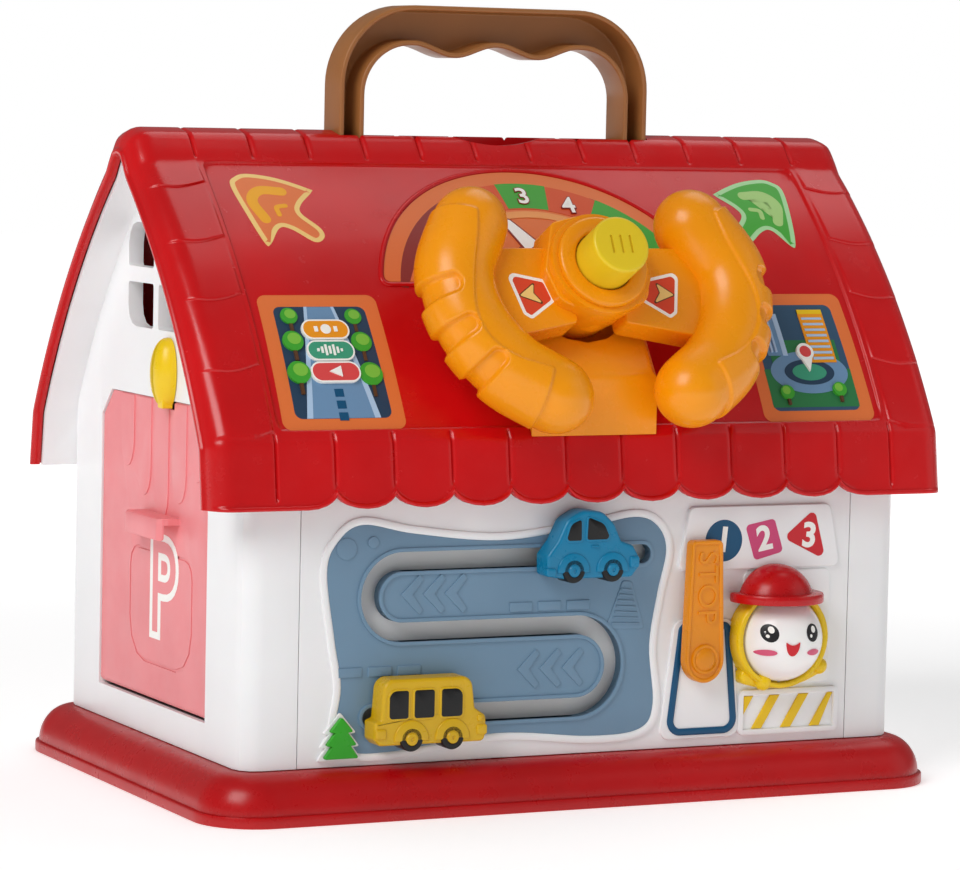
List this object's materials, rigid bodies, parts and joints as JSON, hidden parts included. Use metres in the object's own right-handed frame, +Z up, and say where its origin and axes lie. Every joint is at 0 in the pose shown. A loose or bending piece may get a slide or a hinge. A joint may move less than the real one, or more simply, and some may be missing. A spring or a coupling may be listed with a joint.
{
  "type": "toy activity house",
  "caption": "Toy house with a tiled roof, retracting carry handle, steering wheel with horn button, car slots, barrier lever, spinning ball figure and a hinged garage door.",
  "frame": {"origin": "middle of the four walls in plan, on the flat underside of the base", "axes": "+X to the right along the ridge, seen from the front; +Y to the back wall; +Z up"},
  "size_m": [0.3368, 0.2533, 0.325],
  "materials": {
    "base_skirt": "glossy red moulded plastic",
    "bottom_plate": "satin red moulded plastic",
    "base_screw_1": "zinc plated steel",
    "base_screw_2": "zinc plated steel",
    "base_screw_3": "zinc plated steel",
    "base_screw_4": "zinc plated steel",
    "battery_box": "satin white plastic",
    "battery_cell_1": "metal cell jacket",
    "battery_cell_2": "metal cell jacket",
    "battery_cell_3": "metal cell jacket",
    "battery_cover": "satin red moulded plastic",
    "circuit_board": "green board",
    "speaker": "black cone and frame",
    "left_wall": "glossy white plastic",
    "right_wall": "glossy white plastic",
    "front_panel": "glossy white plastic",
    "back_panel": "glossy white plastic",
    "roof_shell": "glossy red plastic",
    "handle_guide": "satin red plastic",
    "garage_bay": "satin white plastic",
    "road_panel": "satin slate blue plastic",
    "track_floor": "satin white plastic",
    "tree_badge": "glossy green plastic",
    "lever_pin": "plain steel",
    "figure_ring": "glossy yellow plastic",
    "face_axle": "plain steel",
    "figure_cap": "glossy red plastic",
    "wheel_pedestal": "glossy orange plastic",
    "carry_handle": "glossy brown plastic",
    "steering_wheel": "glossy orange plastic",
    "horn_bezel": "glossy orange plastic",
    "horn_switch": "black switch",
    "wheel_shaft": "natural white plastic",
    "shaft_retainer": "plain steel",
    "horn_button": "glossy yellow plastic",
    "garage_door": "satin pink plastic",
    "door_latch": "glossy yellow plastic",
    "latch_washer": "plain steel",
    "stop_lever": "glossy orange plastic",
    "blue_car_slider": "natural white plastic",
    "blue_car": "glossy blue plastic",
    "yellow_bus_slider": "natural white plastic",
    "yellow_bus": "glossy yellow plastic",
    "face_ball": "glossy white plastic",
    "power_switch": "black knob"
  },
  "bodies": {
    "house": {"base_skirt": "base_skirt", "bottom_plate": "bottom_plate", "base_screw_1": "base_screw_1", "base_screw_2": "base_screw_2", "base_screw_3": "base_screw_3", "base_screw_4": "base_screw_4", "battery_box": "battery_box", "battery_cell_1": "battery_cell_1", "battery_cell_2": "battery_cell_2", "battery_cell_3": "battery_cell_3", "battery_cover": "battery_cover", "circuit_board": "circuit_board", "speaker": "speaker", "left_wall": "left_wall", "right_wall": "right_wall", "front_panel": "front_panel", "back_panel": "back_panel", "roof_shell": "roof_shell", "handle_guide": "handle_guide", "garage_bay": "garage_bay", "road_panel": "road_panel", "track_floor": "track_floor", "tree_badge": "tree_badge", "lever_pin": "lever_pin", "figure_ring": "figure_ring", "face_axle": "face_axle", "figure_cap": "figure_cap", "wheel_pedestal": "wheel_pedestal"},
    "handle": {"carry_handle": "carry_handle"},
    "wheel": {"steering_wheel": "steering_wheel", "horn_bezel": "horn_bezel", "horn_switch": "horn_switch", "wheel_shaft": "wheel_shaft", "shaft_retainer": "shaft_retainer"},
    "button": {"horn_button": "horn_button"},
    "door": {"garage_door": "garage_door"},
    "latch": {"door_latch": "door_latch", "latch_washer": "latch_washer"},
    "lever": {"stop_lever": "stop_lever"},
    "blue_slider": {"blue_car_slider": "blue_car_slider"},
    "blue_car": {"blue_car": "blue_car"},
    "bus_slider": {"yellow_bus_slider": "yellow_bus_slider"},
    "bus": {"yellow_bus": "yellow_bus"},
    "ball": {"face_ball": "face_ball"},
    "switch": {"power_switch": "power_switch"}
  },
  "joints": [
    {"name": "handle_slide", "type": "slide", "parent": "house", "child": "handle", "axis": [0, 0, 1], "range_m": [-0.046, 0]},
    {"name": "wheel_turn", "type": "hinge", "parent": "house", "child": "wheel", "pos_m": [0, -0.11078, 0.22284], "axis": [0, -0.891, 0.454], "range_deg": [-45, 45]},
    {"name": "horn_press", "type": "slide", "parent": "wheel", "child": "button", "axis": [0, 0.891, -0.454], "range_m": [0, 0.0025], "stiffness_N_per_m": 400, "springref_m": -0.001},
    {"name": "door_hinge", "type": "hinge", "parent": "house", "child": "door", "pos_m": [-0.14635, 0, 0.038], "axis": [0, -1, 0], "range_deg": [0, 95]},
    {"name": "latch_turn", "type": "hinge", "parent": "house", "child": "latch", "pos_m": [-0.15, -0.0165, 0.17219], "axis": [-1, 0, 0], "range_deg": [-90, 90]},
    {"name": "lever_turn", "type": "hinge", "parent": "house", "child": "lever", "pos_m": [0.0531, -0.10205, 0.0579], "axis": [0, -1, 0], "range_deg": [0, 90]},
    {"name": "blue_car_slide", "type": "slide", "parent": "house", "child": "blue_slider", "axis": [-1, 0, 0], "range_m": [0, 0.083]},
    {"name": "blue_car_swivel", "type": "hinge", "parent": "blue_slider", "child": "blue_car", "pos_m": [-0.002, -0.10035, 0.1018], "axis": [0, -1, 0], "continuous": true},
    {"name": "bus_slide", "type": "slide", "parent": "house", "child": "bus_slider", "axis": [-1, 0, 0], "range_m": [-0.072, 0]},
    {"name": "bus_swivel", "type": "hinge", "parent": "bus_slider", "child": "bus", "pos_m": [-0.073, -0.10035, 0.0396], "axis": [0, -1, 0], "range_deg": [-15, 15]},
    {"name": "ball_spin", "type": "hinge", "parent": "house", "child": "ball", "pos_m": [0.09, -0.10325, 0.0652], "axis": [0, 0, 1], "continuous": true},
    {"name": "switch_slide", "type": "slide", "parent": "house", "child": "switch", "axis": [1, 0, 0], "range_m": [0, 0.004]}
  ]
}
